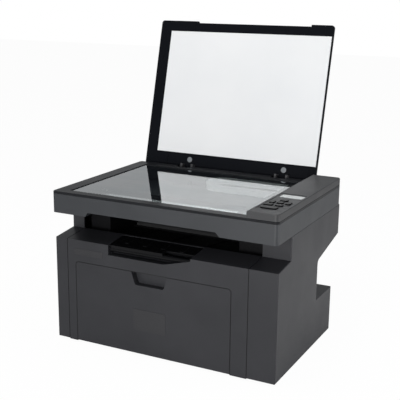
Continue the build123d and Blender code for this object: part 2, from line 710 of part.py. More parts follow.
def tray_flap():
    x = (FLAP_LEFT, FLAP_RIGHT)
    inside = BODY_FRONT + WALL
    pocket_back = inside + 11.0
    with BuildPart() as flap:
        slab(x, (BODY_FRONT, inside), (FLAP_BOTTOM, FLAP_TOP))
        for place in ((x[0], x[0] + WALL), (x[1] - WALL, x[1])):
            slab(place, (inside, inside + 7.6), (HINGE_Z - 3.6, FLAP_TOP - 6))
        for place in range(9):
            left = 62.0 + place * 27.4
            height = GRIP_BOTTOM - 6 if GRIP_LEFT - 8 < left < GRIP_RIGHT + 4 else FLAP_TOP - 6
            slab((left, left + 1.6), (inside, inside + 3.2), (18.0, height))
        slab((GRIP_LEFT - 2, GRIP_RIGHT + 2), (inside, pocket_back), (GRIP_BOTTOM - 2.5, FLAP_TOP - 0.6))
        rod((x[0] - 3.2, x[0] + WALL), (HINGE_Y, HINGE_Z), FLAP_PIN_R)
        rod((x[1] - WALL, x[1] + 3.2), (HINGE_Y, HINGE_Z), FLAP_PIN_R)
        with BuildSketch(Plane.XZ.offset(-BODY_FRONT + 1)) as grip:
            with BuildLine():
                Polyline(
                    (GRIP_LEFT, FLAP_TOP + 1),
                    (GRIP_RIGHT, FLAP_TOP + 1),
                    (GRIP_RIGHT - 6, GRIP_BOTTOM),
                    (GRIP_LEFT + 7, GRIP_BOTTOM),
                    close=True,
                )
            make_face()
            fillet(grip.vertices().group_by(Axis.Y)[0], radius=4.0)
        extrude(amount=-(pocket_back - BODY_FRONT - 1.0), mode=Mode.SUBTRACT)
        top_corners = flap.edges().filter_by(Axis.Y).filter_by_position(Axis.Z, FLAP_TOP, FLAP_TOP)
        ends = [edge for edge in top_corners if edge.center().X < x[0] + 1 or edge.center().X > x[1] - 1]
        fillet(ends, radius=FLAP_CORNER)
        low = flap.edges().filter_by(Axis.X).filter_by_position(Axis.Z, FLAP_BOTTOM, FLAP_BOTTOM)
        fillet(low.sort_by(Axis.Y)[0], radius=1.5)
    export(flap, "tray_flap")


def blank_badge():
    with BuildPart() as badge:
        slab((143.5, 199.0), (BODY_FRONT - 0.4, BODY_FRONT), (44.0, 78.0))
        fillet(badge.edges().filter_by(Axis.Y), radius=0.8)
    export(badge, "blank_badge")


def scanner_base():
    floor = SCANNER_Z + WALL
    with BuildPart() as tub:
        slab((0, WIDTH), (0, DEPTH), (SCANNER_Z, BASE_TOP))
        fillet(tub.edges().filter_by(Axis.Z), radius=CORNER)
        slab((WALL, WIDTH - WALL), (WALL, DEPTH - WALL), (floor, BASE_TOP + 1), Mode.SUBTRACT)
        slab((NOTCH_LEFT - 3, NOTCH_RIGHT + 3), (WALL, NOTCH_DEPTH + WALL), (floor, SCANNER_Z + NOTCH_HEIGHT + WALL))
        with BuildSketch(Plane.XZ):
            with BuildLine():
                Polyline(
                    (NOTCH_LEFT, SCANNER_Z - 1),
                    (NOTCH_LEFT + 5, SCANNER_Z + NOTCH_HEIGHT),
                    (NOTCH_RIGHT - 8, SCANNER_Z + NOTCH_HEIGHT),
                    (NOTCH_RIGHT, SCANNER_Z - 1),
                    close=True,
                )
            make_face()
        extrude(amount=-NOTCH_DEPTH, mode=Mode.SUBTRACT)
        ledge = (BASE_TOP - 3.2, BASE_TOP - 0.2)
        slab((WALL, WIDTH - WALL), (WALL, 14.0), ledge)
        slab((WALL, 21.0), (WALL, BEAM_FRONT - LIP - SEAM), ledge)
        slab((335.0, 340.0), (WALL, BEAM_FRONT - LIP - SEAM), ledge)
        slab((BEAM_END, WIDTH - BEAM_END), (BEAM_FRONT - LIP, DEPTH + 1), (CLEVIS_Z, BASE_TOP + 1), Mode.SUBTRACT)
        for x in HINGE_X:
            slab((x - 15.5, x + 15.5), (BEAM_FRONT, DEPTH - WALL), (floor, CLEVIS_Z))
            slab(
                (x - POST_HALF - REST_GAP, x + POST_HALF + REST_GAP),
                (POST_FRONT - REST_GAP, POST_FRONT + POST_DEPTH + REST_GAP),
                (SCANNER_Z - 1, CLEVIS_Z + 1),
                Mode.SUBTRACT,
            )
        for x in ((WALL, 7.0), (WIDTH - 7.0, WIDTH - WALL)):
            slab(x, (RAIL_AT[0] - 7, RAIL_AT[0] + 7), (floor, RAIL_AT[1] + 7))
        rod((WALL, WIDTH - WALL), RAIL_AT, RAIL_R, Mode.SUBTRACT)
        post((PULLEY_LEFT, BELT_Y), (floor, BELT_Z + BELT_WIDTH), 2.0)
        for x in (PULLEY_RIGHT - 11, PULLEY_RIGHT + 11):
            for y in (BELT_Y - 11, BELT_Y + 11):
                post((x, y), (floor, MOTOR_Z), 2.5)
    export(tub, "scanner_base")


def hinge_beam():
    """The channel across the scanner's rear, which carries the glass and is notched for the hinges."""
    ends = (BEAM_END + REST_GAP, WIDTH - BEAM_END - REST_GAP)
    block = CLEVIS_HALF + 3.0
    hollows = (
        (ends[0] + WALL, HINGE_X[0] - block),
        (HINGE_X[0] + block, HINGE_X[1] - block),
        (HINGE_X[1] + block, ends[1] - WALL),
    )
    with BuildPart() as beam:
        slab(ends, (BEAM_FRONT, DEPTH), (CLEVIS_Z, BASE_TOP))
        slab(ends, (BEAM_FRONT - LIP, BEAM_FRONT), (BASE_TOP - 3.2, BASE_TOP - 0.2))
        for x in hollows:
            slab(x, (BEAM_FRONT + WALL, DEPTH - WALL), (CLEVIS_Z - 1, BASE_TOP - WALL), Mode.SUBTRACT)
        for x in HINGE_X:
            slab(
                (x - CLEVIS_HALF, x + CLEVIS_HALF),
                (CLEVIS_FRONT, DEPTH + 1),
                (CLEVIS_Z - 1, BASE_TOP + 1),
                Mode.SUBTRACT,
            )
    export(beam, "hinge_beam")


def scanner_bezel():
    with BuildPart() as bezel:
        slab((0, WIDTH), (0, DEPTH), (BEZEL_Z, BEZEL_TOP))
        fillet(bezel.edges().filter_by(Axis.Z), radius=CORNER)
        chamfer(bezel.faces().sort_by(Axis.Z)[-1].edges(), length=0.9)
        slab((WINDOW_LEFT, WINDOW_RIGHT), (WINDOW_FRONT, WINDOW_REAR), (BEZEL_Z - 1, BEZEL_TOP + 1), Mode.SUBTRACT)
        slab(
            (WINDOW_LEFT - GLASS_MARGIN - SEAM, WINDOW_RIGHT + GLASS_MARGIN + SEAM),
            (WINDOW_FRONT - GLASS_MARGIN - SEAM, WINDOW_REAR + GLASS_MARGIN + SEAM),
            (BEZEL_Z - 1, GLASS_TOP),
            Mode.SUBTRACT,
        )
        for y in (252.5, 258.5):
            slab((26.0, 330.0), (y, y + 0.8), (BEZEL_TOP - 0.5, BEZEL_TOP + 1), Mode.SUBTRACT)
        for x in HINGE_X:
            slab(
                (x - CLEVIS_HALF, x + CLEVIS_HALF),
                (CLEVIS_FRONT, DEPTH + 1),
                (BEZEL_Z - 1, BEZEL_TOP + 1),
                Mode.SUBTRACT,
            )
    export(bezel, "scanner_bezel")
    with BuildPart() as glass:
        slab(
            (WINDOW_LEFT - GLASS_MARGIN, WINDOW_RIGHT + GLASS_MARGIN),
            (WINDOW_FRONT - GLASS_MARGIN, WINDOW_REAR + GLASS_MARGIN),
            (GLASS_TOP - GLASS_THICK, GLASS_TOP),
        )
    export(glass, "platen_glass")


def scanner_drive():
    with BuildPart() as rail:
        rod((WALL, WIDTH - WALL), RAIL_AT, RAIL_R)
    export(rail, "guide_rail")
    with BuildPart() as belt:
        middle = (PULLEY_LEFT + PULLEY_RIGHT) / 2
        length = PULLEY_RIGHT - PULLEY_LEFT
        inner = PULLEY_R + REST_GAP
        with BuildSketch(Plane.XY.offset(BELT_Z)):
            with Locations((middle, BELT_Y)):
                SlotCenterToCenter(length, 2 * (inner + BELT_THICK))
                SlotCenterToCenter(length, 2 * inner, mode=Mode.SUBTRACT)
        extrude(amount=BELT_WIDTH)
    export(belt, "scan_belt")
    for name, x in (("idler_pulley", PULLEY_LEFT), ("drive_pulley", PULLEY_RIGHT)):
        bore = 2.0 + RUNNING
        with BuildPart() as pulley:
            post((x, BELT_Y), (BELT_Z, BELT_Z + BELT_WIDTH), PULLEY_R)
            post((x, BELT_Y), (BELT_Z - 1, BELT_Z + BELT_WIDTH + 1), bore, Mode.SUBTRACT)
            with Locations((x, BELT_Y, BELT_Z + BELT_WIDTH / 2)):
                with PolarLocations(PULLEY_R, 12):
                    Box(0.8, 1.0, BELT_WIDTH + 1, mode=Mode.SUBTRACT)
        export(pulley, name)
    with BuildPart() as motor:
        slab((PULLEY_RIGHT - 15, PULLEY_RIGHT + 15), (BELT_Y - 15, BELT_Y + 15), (MOTOR_Z, MOTOR_Z + 2))
        post((PULLEY_RIGHT, BELT_Y), (MOTOR_Z + 2, MOTOR_Z + 14), 13.0)
        post((PULLEY_RIGHT, BELT_Y), (BELT_Z, MOTOR_Z), 2.0)
    export(motor, "scan_motor")


def carriage():
    right = CARRIAGE_LEFT + CARRIAGE_WIDTH
    with BuildPart() as bar:
        slab((CARRIAGE_LEFT, right), (16.0, 249.0), (CARRIAGE_BOTTOM, CARRIAGE_TOP))
        slab((CARRIAGE_LEFT + 8, CARRIAGE_LEFT + 18), (22.0, 243.0), (CARRIAGE_TOP - 1.5, CARRIAGE_TOP + 1), Mode.SUBTRACT)
        slab((CARRIAGE_LEFT - 4, right + 4), (RAIL_AT[0] - 9, RAIL_AT[0] + 9), (218.4, CARRIAGE_BOTTOM))
        slab((CARRIAGE_LEFT - 4, right + 4), (RAIL_AT[0] - 9, RAIL_AT[0] + 9), (CARRIAGE_BOTTOM, CARRIAGE_BOTTOM + 2))
        rod((CARRIAGE_LEFT - 5, right + 5), RAIL_AT, RAIL_R + RUNNING, Mode.SUBTRACT)
        clamp_z = (BELT_Z + BELT_WIDTH + REST_GAP, CARRIAGE_BOTTOM)
        slab((CARRIAGE_LEFT + 6, CARRIAGE_LEFT + 20), (BELT_Y + 4, BELT_Y + 10), clamp_z)
    export(bar, "scan_carriage")


def ribbon_cable():
    thick = 0.5
    near = 195.0
    far = 253.6
    bend_x = 190.0
    radius = (far - near) / 2
    with BuildPart() as ribbon:
        with BuildSketch(Plane.XY.offset(229.0)):
            with BuildLine() as route:
                Polyline((CARRIAGE_LEFT - 0.2, near), (bend_x, near))
                ThreePointArc((bend_x, near), (bend_x - radius, near + radius), (bend_x, far))
                Polyline((bend_x, far), (345.0, far))
            trace(line_width=thick)
        extrude(amount=12.0)
    export(ribbon, "ribbon_cable")


def control_panel():
    x = (PANEL_LEFT, WIDTH)
    inner_top = PANEL_TOP - 2.2
    clear = REST_GAP
    with BuildPart() as panel:
        slab(x, (0, DEPTH), (BEZEL_TOP, PANEL_TOP))
        vertical = panel.edges().filter_by(Axis.Z)
        fillet(vertical.group_by(Axis.X)[-1], radius=CORNER)
        chamfer(panel.faces().sort_by(Axis.Z)[-1].edges(), length=0.9)
        slab((x[0] + WALL, x[1] - WALL), (WALL, DEPTH - WALL), (BEZEL_TOP - 1, inner_top), Mode.SUBTRACT)
        slab((PANEL_LEFT + 3.8, WIDTH - 4.0), (20.0, 122.6), (PANEL_TOP - INSET, PANEL_TOP + 1), Mode.SUBTRACT)
        slab(DISPLAY[:2], DISPLAY[2:], (inner_top - 1, PANEL_TOP + 1), Mode.SUBTRACT)
        for middle_x, middle_y, long_x, long_y in BUTTONS.values():
            slab(
                (middle_x - long_x / 2 - clear, middle_x + long_x / 2 + clear),
                (middle_y - long_y / 2 - clear, middle_y + long_y / 2 + clear),
                (inner_top - 1, PANEL_TOP + 1),
                Mode.SUBTRACT,
            )
    export(panel, "control_panel")
    with BuildPart() as display:
        slab(
            (DISPLAY[0] + 0.2, DISPLAY[1] - 0.2),
            (DISPLAY[2] + 0.2, DISPLAY[3] - 0.2),
            (BOARD_Z + BOARD_THICK, PANEL_TOP - INSET + 0.1),
        )
        fillet(display.edges().filter_by(Axis.Z), radius=0.5)
    export(display, "display")
    for name, (middle_x, middle_y, long_x, long_y) in BUTTONS.items():
        foot = BOARD_Z + BOARD_THICK + 1.3
        crown = PANEL_TOP - INSET + BUTTON_RISE
        rim = 0.6
        with BuildPart() as button:
            slab(
                (middle_x - long_x / 2, middle_x + long_x / 2),
                (middle_y - long_y / 2, middle_y + long_y / 2),
                (foot, crown),
            )
            fillet(button.edges().filter_by(Axis.Z), radius=min(long_x, long_y) * 0.35)
            chamfer(button.faces().sort_by(Axis.Z)[-1].edges(), length=0.5)
            slab(
                (middle_x - long_x / 2 - rim, middle_x + long_x / 2 + rim),
                (middle_y - long_y / 2 - rim, middle_y + long_y / 2 + rim),
                (foot, inner_top - REST_GAP),
            )
        export(button, name)


def hinge_posts():
    with BuildPart() as posts:
        for x in HINGE_X:
            width = (x - POST_HALF, x + POST_HALF)
            slab(width, (POST_FRONT, POST_FRONT + POST_DEPTH), (186.0, CLEVIS_Z + 8))
            slab(width, (POST_FRONT, AXIS_Y), (CLEVIS_Z + 0.5, AXIS_Z))
            rod(width, (AXIS_Y, AXIS_Z), KNUCKLE_R)
            reach = POST_HALF + REST_GAP + CHEEK_THICK
            rod((x - reach, x + reach), (AXIS_Y, AXIS_Z), LID_PIN_R)
    export(posts, "hinge_posts")


def lid_plane(height=0.0):
    """Plane of the lid, seen with its front edge towards local -Y when shut."""
    lean = math.radians(LID_LEAN)
    return Plane(origin=(0, AXIS_Y, AXIS_Z), x_dir=(1, 0, 0), z_dir=(0, math.sin(lean), math.cos(lean))).offset(height)


def lid_block(x, y, z, mode=Mode.ADD):
    """A box in the lid's own directions: x across, y from the hinge axis, z away from the glass."""
    with BuildSketch(lid_plane(z[0])) as section:
        with Locations(((x[0] + x[1]) / 2, (y[0] + y[1]) / 2)):
            Rectangle(x[1] - x[0], y[1] - y[0])
    extrude(section.sketch, amount=z[1] - z[0], mode=mode)


def lid_dot(places, radius, z, mode=Mode.ADD):
    with BuildSketch(lid_plane(z[0])) as section:
        with Locations(*places):
            Circle(radius)
    extrude(section.sketch, amount=z[1] - z[0], mode=mode)


def lid():
    x = (LID_LEFT, LID_RIGHT)
    y = (-LID_REAR - LID_LENGTH, -LID_REAR)
    middle = ((x[0] + x[1]) / 2, (y[0] + y[1]) / 2)
    plate_z = LID_FRAME_Z + 2.5
    lip_z = plate_z + 1.8
    grip = (75.4, 290.2)
    with BuildPart() as shell:
        with BuildSketch(lid_plane(plate_z)):
            with Locations(middle):
                RectangleRounded(x[1] - x[0], y[1] - y[0], 5.0)
        extrude(amount=lip_z - plate_z)
        with BuildSketch(lid_plane(lip_z)):
            with Locations(middle):
                RectangleRounded(x[1] - x[0] - 2, y[1] - y[0] - 2, 5.0)
        extrude(amount=LID_BACK - lip_z, taper=38)
        lid_block((x[0] + 16, x[1] - 16), (y[0] + 16, y[1] - 16), (plate_z - 1, LID_BACK - 2.5), Mode.SUBTRACT)
        lid_block(grip, (y[0] - 1, y[0] + GRIP_CUT), (plate_z - 1, LID_BACK), Mode.SUBTRACT)
    export(shell, "lid_shell")
    with BuildPart() as frame:
        with BuildSketch(lid_plane(LID_FRAME_Z)):
            with Locations(middle):
                RectangleRounded(x[1] - x[0], y[1] - y[0], 5.0)
        extrude(amount=plate_z - LID_FRAME_Z)
        lid_block(
            (PAD_LEFT - 0.3, PAD_RIGHT + 0.3),
            (-PAD_REAR - PAD_LENGTH - 0.3, -PAD_REAR + 0.3),
            (LID_FRAME_Z - 1, LID_FRAME_Z + 0.8),
            Mode.SUBTRACT,
        )
        lid_block(grip, (y[0] - 1, y[0] + GRIP_CUT), (LID_FRAME_Z - 1, plate_z + 1), Mode.SUBTRACT)
        for left in (45.7, 317.5):
            lid_block((left, left + 2.4), (-PAD_REAR + 4, y[1] - 3), (LID_FRAME_Z - 1, LID_FRAME_Z + 0.9), Mode.SUBTRACT)
        for left in (46.5, 314.0):
            lid_block((left, left + 2.0), (y[0] + 5, y[0] + 14), (LID_FRAME_Z - 0.5, LID_FRAME_Z))
        lid_dot([(place, y[0] + 9.5) for place in (111.5, 160.4, 199.5, 246.9)], 2.0, (LID_FRAME_Z - 0.5, LID_FRAME_Z))
        lid_dot([(181.0, -PAD_REAR + 11)], 2.2, (LID_FRAME_Z - CAP_RISE, LID_FRAME_Z))
        lid_dot([(69.3, y[0] + 9.0), (290.0, y[0] + 12.0)], 3.2, (LID_FRAME_Z - 0.8, LID_FRAME_Z))
        lid_dot([(10.0, -PAD_REAR - PAD_LENGTH + 48.0)], 2.4, (LID_FRAME_Z - 0.8, LID_FRAME_Z))
    export(frame, "lid_frame")
    with BuildPart() as arms:
        for place in HINGE_X:
            for side in (-1, 1):
                near = place + side * (POST_HALF + REST_GAP)
                cheek = (min(near, near + side * CHEEK_THICK), max(near, near + side * CHEEK_THICK))
                lid_block(cheek, (-13.0, KNUCKLE_R), (0, LID_FRAME_Z))
                rod(cheek, (AXIS_Y, AXIS_Z), KNUCKLE_R)
                rod(cheek, (AXIS_Y, AXIS_Z), LID_PIN_R + RUNNING, Mode.SUBTRACT)
        lid_dot([(place, -PAD_REAR + 11) for place in HINGE_X], 5.0, (LID_FRAME_Z - CAP_RISE, LID_FRAME_Z))
    export(arms, "lid_hinge_arms")
    with BuildPart() as pad:
        lid_block((PAD_LEFT, PAD_RIGHT), (-PAD_REAR - PAD_LENGTH, -PAD_REAR), (PAD_Z, LID_FRAME_Z + 0.8))
    export(pad, "lid_pad")


def main():
    base_pan()
    feet()
    export(side_cover(0, LEFT_COLUMN), "left_side_cover")
    export(side_cover(WIDTH, -RIGHT_COLUMN), "right_side_cover")
    frames()
    rollers()
    main_motor()
    toner_cartridge()
    laser_unit()
    lift_plate()
    paper_guides()
    output_tray()
    exit_housing()
    rear_panel()
    rear_door()
    sockets()
    electronics()
    case_screws()
    front_cover()
    paper_stop()
    tray_flap()
    blank_badge()
    scanner_base()
    hinge_beam()
    scanner_bezel()
    scanner_drive()
    carriage()
    ribbon_cable()
    control_panel()
    hinge_posts()
    lid()
    print("overall depth", round(write_pieces(), 4))


main()
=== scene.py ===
import math

import bmesh
import bpy
from mathutils import Matrix, Vector

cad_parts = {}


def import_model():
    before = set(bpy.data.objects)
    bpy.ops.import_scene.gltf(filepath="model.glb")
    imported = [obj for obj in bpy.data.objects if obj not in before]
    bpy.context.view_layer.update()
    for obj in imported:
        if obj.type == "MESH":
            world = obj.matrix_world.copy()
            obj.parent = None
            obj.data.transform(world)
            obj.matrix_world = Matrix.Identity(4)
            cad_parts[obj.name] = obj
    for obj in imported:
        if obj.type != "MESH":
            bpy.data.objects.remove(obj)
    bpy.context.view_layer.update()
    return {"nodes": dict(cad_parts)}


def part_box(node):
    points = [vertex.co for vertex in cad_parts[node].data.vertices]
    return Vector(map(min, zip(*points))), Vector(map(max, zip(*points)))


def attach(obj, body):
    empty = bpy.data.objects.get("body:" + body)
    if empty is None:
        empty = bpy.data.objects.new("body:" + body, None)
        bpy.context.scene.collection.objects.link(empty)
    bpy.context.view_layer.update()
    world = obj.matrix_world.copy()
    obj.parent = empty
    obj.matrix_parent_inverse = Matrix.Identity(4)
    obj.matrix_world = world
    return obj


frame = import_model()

MM = 0.001

# How fast the platen turns into a mirror at a low view, and the studio's light on dull and on
# mirroring surfaces
GLASS_POWER = 2.1
FILL = 0.14
MIRRORED_FILL = 0.47
# How much of the floor the camera sees as plain white
FLOOR_WHITE = 0.97
FLOOR_HALF = 6.0

# The lid's axis, its lean when open, and the places of its two screw caps along and above the axis
AXIS_Y = 273.2
AXIS_Z = 239.4
LID_LEAN = 104.2
HINGE_X = (91.0, 272.2)
CAP_ALONG = 20.9
CAP_HEIGHT = 9.95

# The scanner's front left corner on the floor, from which places are measured
CORNER = Vector((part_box("scanner_base")[0][0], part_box("scanner_base")[0][1], 0.0))

# Camera, solved from the photograph: place from that corner, bearing, height, roll, focal length
CAMERA_PLACE = CORNER + Vector((0.78957, -1.04141, 0.55933))
CAMERA_AZIMUTH = 26.98
CAMERA_ELEVATION = 14.09
CAMERA_ROLL = 0.59
FOCAL_PIXELS = 848.98
FRAME_PIXELS = 400.0
SENSOR = 36.0

# Lamps: place, width and height in metres, and power in watts, all aimed at LAMP_TARGET
LAMP_TARGET = (0.0, -0.05, 0.2)
LAMPS = {
    "front_softbox": ((0.25, -2.5, 0.50), (1.6, 0.8), 62.0),
    "right_softbox": ((2.3, 0.2, 0.55), (1.6, 0.9), 41.0),
    "top_softbox": ((-0.2, -0.35, 2.4), (1.2, 1.2), 26.0),
}

# Near-black strips of painted shade in the seams, in millimetres: their foot and depth range, the
# front cover's two edges with the reach of each strip, and the opening for the flap (left, right,
# top, corner radius)
SHADE_STRIP_FOOT = 4.0
SHADE_STRIP_TOP = 171.0
SHADE_STRIP_FRONT = 7.0
SHADE_STRIP_BACK = 8.9
SHADE_STRIP_WIDTH = 0.9
COVER_EDGES = {"left": (22.7, 21.8), "right": (333.8, 334.7)}
FLAP_OPENING = (36.7, 308.3, 138.3, 5.7)

# Name plate, screw caps and scan lens: places in millimetres, sizes in metres
NAME_PLATE_AT = (62, 6.7, 154.5)
NAME_PLATE_SIZE = (0.052, 0.010)
NAME_PLATE_THICK = 0.0004
NAME_PLATE_CORNER = 0.0012
CAP_RADIUS = 0.0047
CAP_THICK = 0.0002
LENS_AT = (313, 132.5, 242.0)
LENS_SIZE = (0.0092, 0.219)
LENS_THICK = 0.0011
LENS_CORNER = 0.001


def place(x, y, z):
    """A point in metres from millimetres measured at the scanner's front left corner."""
    return CORNER + Vector((x, y, z)) * MM


def new_material(name):
    material = bpy.data.materials.new(name)
    material.use_nodes = True
    tree = material.node_tree
    tree.nodes.clear()
    output = tree.nodes.new("ShaderNodeOutputMaterial")
    shader = tree.nodes.new("ShaderNodeBsdfPrincipled")
    tree.links.new(shader.outputs["BSDF"], output.inputs["Surface"])
    coordinates = tree.nodes.new("ShaderNodeTexCoord")
    return material, tree, shader, coordinates


def noise(tree, coordinates, scale, detail=2.0, roughness=0.5, stretch=None):
    node = tree.nodes.new("ShaderNodeTexNoise")
    node.inputs["Scale"].default_value = scale
    node.inputs["Detail"].default_value = detail
    node.inputs["Roughness"].default_value = roughness
    source = coordinates.outputs["Object"]
    if stretch:
        mapping = tree.nodes.new("ShaderNodeMapping")
        mapping.inputs["Scale"].default_value = stretch
        tree.links.new(source, mapping.inputs["Vector"])
        source = mapping.outputs["Vector"]
    tree.links.new(source, node.inputs["Vector"])
    return node.outputs["Fac"]


def ramp(tree, source, low, high, start=0.3, end=0.7):
    node = tree.nodes.new("ShaderNodeValToRGB")
    node.color_ramp.elements[0].position = start
    node.color_ramp.elements[0].color = low
    node.color_ramp.elements[1].position = end
    node.color_ramp.elements[1].color = high
    tree.links.new(source, node.inputs["Fac"])
    return node.outputs["Color"]


def spread(tree, source, low, high, start=0.25, end=0.75):
    node = tree.nodes.new("ShaderNodeMapRange")
    node.inputs["From Min"].default_value = start
    node.inputs["From Max"].default_value = end
    node.inputs["To Min"].default_value = low
    node.inputs["To Max"].default_value = high
    tree.links.new(source, node.inputs["Value"])
    return node.outputs["Result"]


def mix_colour(tree, factor, first, second):
    node = tree.nodes.new("ShaderNodeMix")
    node.data_type = "RGBA"
    tree.links.new(factor, node.inputs["Factor"])
    tree.links.new(first, node.inputs["A"])
    if isinstance(second, tuple):
        node.inputs["B"].default_value = second
    else:
        tree.links.new(second, node.inputs["B"])
    return node.outputs["Result"]


def edge_mask(tree, radius):
    """Bright where the surface turns over an edge within radius."""
    bevel = tree.nodes.new("ShaderNodeBevel")
    bevel.inputs["Radius"].default_value = radius
    bevel.samples = 6
    geometry = tree.nodes.new("ShaderNodeNewGeometry")
    dot = tree.nodes.new("ShaderNodeVectorMath")
    dot.operation = "DOT_PRODUCT"
    tree.links.new(bevel.outputs["Normal"], dot.inputs[0])
    tree.links.new(geometry.outputs["Normal"], dot.inputs[1])
    return spread(tree, dot.outputs["Value"], 1.0, 0.0, 0.80, 0.995)


def grain(tree, shader, height, strength, distance):
    bump = tree.nodes.new("ShaderNodeBump")
    bump.inputs["Strength"].default_value = strength
    bump.inputs["Distance"].default_value = distance
    tree.links.new(height, bump.inputs["Height"])
    tree.links.new(bump.outputs["Normal"], shader.inputs["Normal"])


def shade(colour, factor):
    return tuple(min(1.0, part * factor) for part in colour[:3]) + (1.0,)


def moulded(
    name, colour, roughness=0.5, grain_scale=1500.0, grain_depth=0.00006,
    edge_wear_and_highlight=0.25, vary=0.14, specular=0.5, ior=1.5,
):
    """Moulded plastic: spark-eroded grain, faint mottling, and edges painted paler: rubbed wear
    plus a painted highlight.
    """
    material, tree, shader, coordinates = new_material(name)
    fine = noise(tree, coordinates, grain_scale, 3.0, 0.6)
    broad = noise(tree, coordinates, 14.0, 4.0, 0.55)
    base = ramp(tree, broad, shade(colour, 1 - vary), shade(colour, 1 + vary))
    speck = ramp(tree, fine, shade(colour, 0.72), shade(colour, 1.32), 0.35, 0.68)
    half = tree.nodes.new("ShaderNodeMix")
    half.data_type = "RGBA"
    half.inputs["Factor"].default_value = 0.45
    tree.links.new(base, half.inputs["A"])
    tree.links.new(speck, half.inputs["B"])
    # The edges are painted paler: partly rubbed wear, partly a painted highlight along edges that
    # catch the light
    mask = edge_mask(tree, 0.0005)
    painted_edge_share = tree.nodes.new("ShaderNodeMath")
    painted_edge_share.operation = "MULTIPLY"
    painted_edge_share.inputs[1].default_value = edge_wear_and_highlight
    tree.links.new(mask, painted_edge_share.inputs[0])
    painted_edge_colour = tuple(part * 2.2 + 0.03 for part in colour[:3]) + (1.0,)
    tone = mix_colour(tree, painted_edge_share.outputs["Value"], half.outputs["Result"], painted_edge_colour)
    tree.links.new(tone, shader.inputs["Base Color"])
    gloss = spread(tree, broad, roughness - 0.05, roughness + 0.07)
    tree.links.new(gloss, shader.inputs["Roughness"])
    shader.inputs["Specular IOR Level"].default_value = specular
    shader.inputs["IOR"].default_value = ior
    grain(tree, shader, fine, 0.5, grain_depth)
    return material


def rubber(name, colour):
    material, tree, shader, coordinates = new_material(name)
    fine = noise(tree, coordinates, 900.0, 4.0, 0.7)
    tone = ramp(tree, fine, shade(colour, 0.7), shade(colour, 1.4))
    tree.links.new(tone, shader.inputs["Base Color"])
    tree.links.new(spread(tree, fine, 0.72, 0.9), shader.inputs["Roughness"])
    shader.inputs["Specular IOR Level"].default_value = 0.3
    grain(tree, shader, fine, 0.6, 0.0001)
    return material


def metal(name, colour, roughness, stretch):
    """Rolled or turned metal with a drawn grain."""
    material, tree, shader, coordinates = new_material(name)
    lines = noise(tree, coordinates, 260.0, 4.0, 0.6, stretch)
    tone = ramp(tree, lines, shade(colour, 0.75), shade(colour, 1.12))
    tree.links.new(tone, shader.inputs["Base Color"])
    gloss = spread(tree, lines, roughness - 0.08, roughness + 0.12)
    tree.links.new(gloss, shader.inputs["Roughness"])
    shader.inputs["Metallic"].default_value = 1.0
    grain(tree, shader, lines, 0.25, 0.00004)
    return material


def sheet_white(name):
    """The pad's soft white sheet, with a faint felt texture."""
    material, tree, shader, coordinates = new_material(name)
    fine = noise(tree, coordinates, 1400.0, 5.0, 0.7)
    broad = noise(tree, coordinates, 7.0, 3.0, 0.5)
    tone = ramp(tree, broad, (0.57, 0.58, 0.59, 1.0), (0.61, 0.615, 0.62, 1.0))
    tree.links.new(tone, shader.inputs["Base Color"])
    tree.links.new(spread(tree, fine, 0.42, 0.58), shader.inputs["Roughness"])
    shader.inputs["Specular IOR Level"].default_value = 0.35
    grain(tree, shader, fine, 0.3, 0.00004)
    return material


def platen(name):
    """Clear float glass: the top face mirrors more at a low view, with faint smears."""
    material, tree, shader, coordinates = new_material(name)
    tree.nodes.remove(shader)
    output = [node for node in tree.nodes if node.type == "OUTPUT_MATERIAL"][0]
    clear = tree.nodes.new("ShaderNodeBsdfTransparent")
    clear.inputs["Color"].default_value = (0.95, 0.975, 0.97, 1.0)
    mirror = tree.nodes.new("ShaderNodeBsdfGlossy")
    mirror.inputs["Roughness"].default_value = 0.0
    smear = noise(tree, coordinates, 9.0, 5.0, 0.6, (1.0, 3.0, 1.0))
    tint = ramp(tree, smear, (0.90, 0.93, 0.94, 1.0), (1.0, 1.0, 1.0, 1.0))
    tree.links.new(tint, mirror.inputs["Color"])
    weight = tree.nodes.new("ShaderNodeLayerWeight")
    weight.inputs["Blend"].default_value = 0.5
    slope = tree.nodes.new("ShaderNodeMath")
    slope.operation = "POWER"
    slope.inputs[1].default_value = GLASS_POWER
    tree.links.new(weight.outputs["Facing"], slope.inputs[0])
    share = spread(tree, slope.outputs["Value"], 0.05, 1.0, 0.0, 1.0)
    geometry = tree.nodes.new("ShaderNodeNewGeometry")
    outside = tree.nodes.new("ShaderNodeMath")
    outside.operation = "SUBTRACT"
    outside.inputs[0].default_value = 1.0
    tree.links.new(geometry.outputs["Backfacing"], outside.inputs[1])
    top_only = tree.nodes.new("ShaderNodeMath")
    top_only.operation = "MULTIPLY"
    tree.links.new(share, top_only.inputs[0])
    tree.links.new(outside.outputs["Value"], top_only.inputs[1])
    mix = tree.nodes.new("ShaderNodeMixShader")
    tree.links.new(top_only.outputs["Value"], mix.inputs["Fac"])
    tree.links.new(clear.outputs["BSDF"], mix.inputs[1])
    tree.links.new(mirror.outputs["BSDF"], mix.inputs[2])
    tree.links.new(mix.outputs["Shader"], output.inputs["Surface"])
    return material


def screen(name):
    """Reflective liquid-crystal screen behind a clear window."""
    material, tree, shader, coordinates = new_material(name)
    broad = noise(tree, coordinates, 60.0, 2.0, 0.5)
    tone = ramp(tree, broad, (0.40, 0.43, 0.43, 1.0), (0.50, 0.53, 0.52, 1.0))
    tree.links.new(tone, shader.inputs["Base Color"])
    tree.links.new(spread(tree, broad, 0.1, 0.18), shader.inputs["Roughness"])
    shader.inputs["Coat Weight"].default_value = 0.6
    shader.inputs["Coat Roughness"].default_value = 0.04
    return material


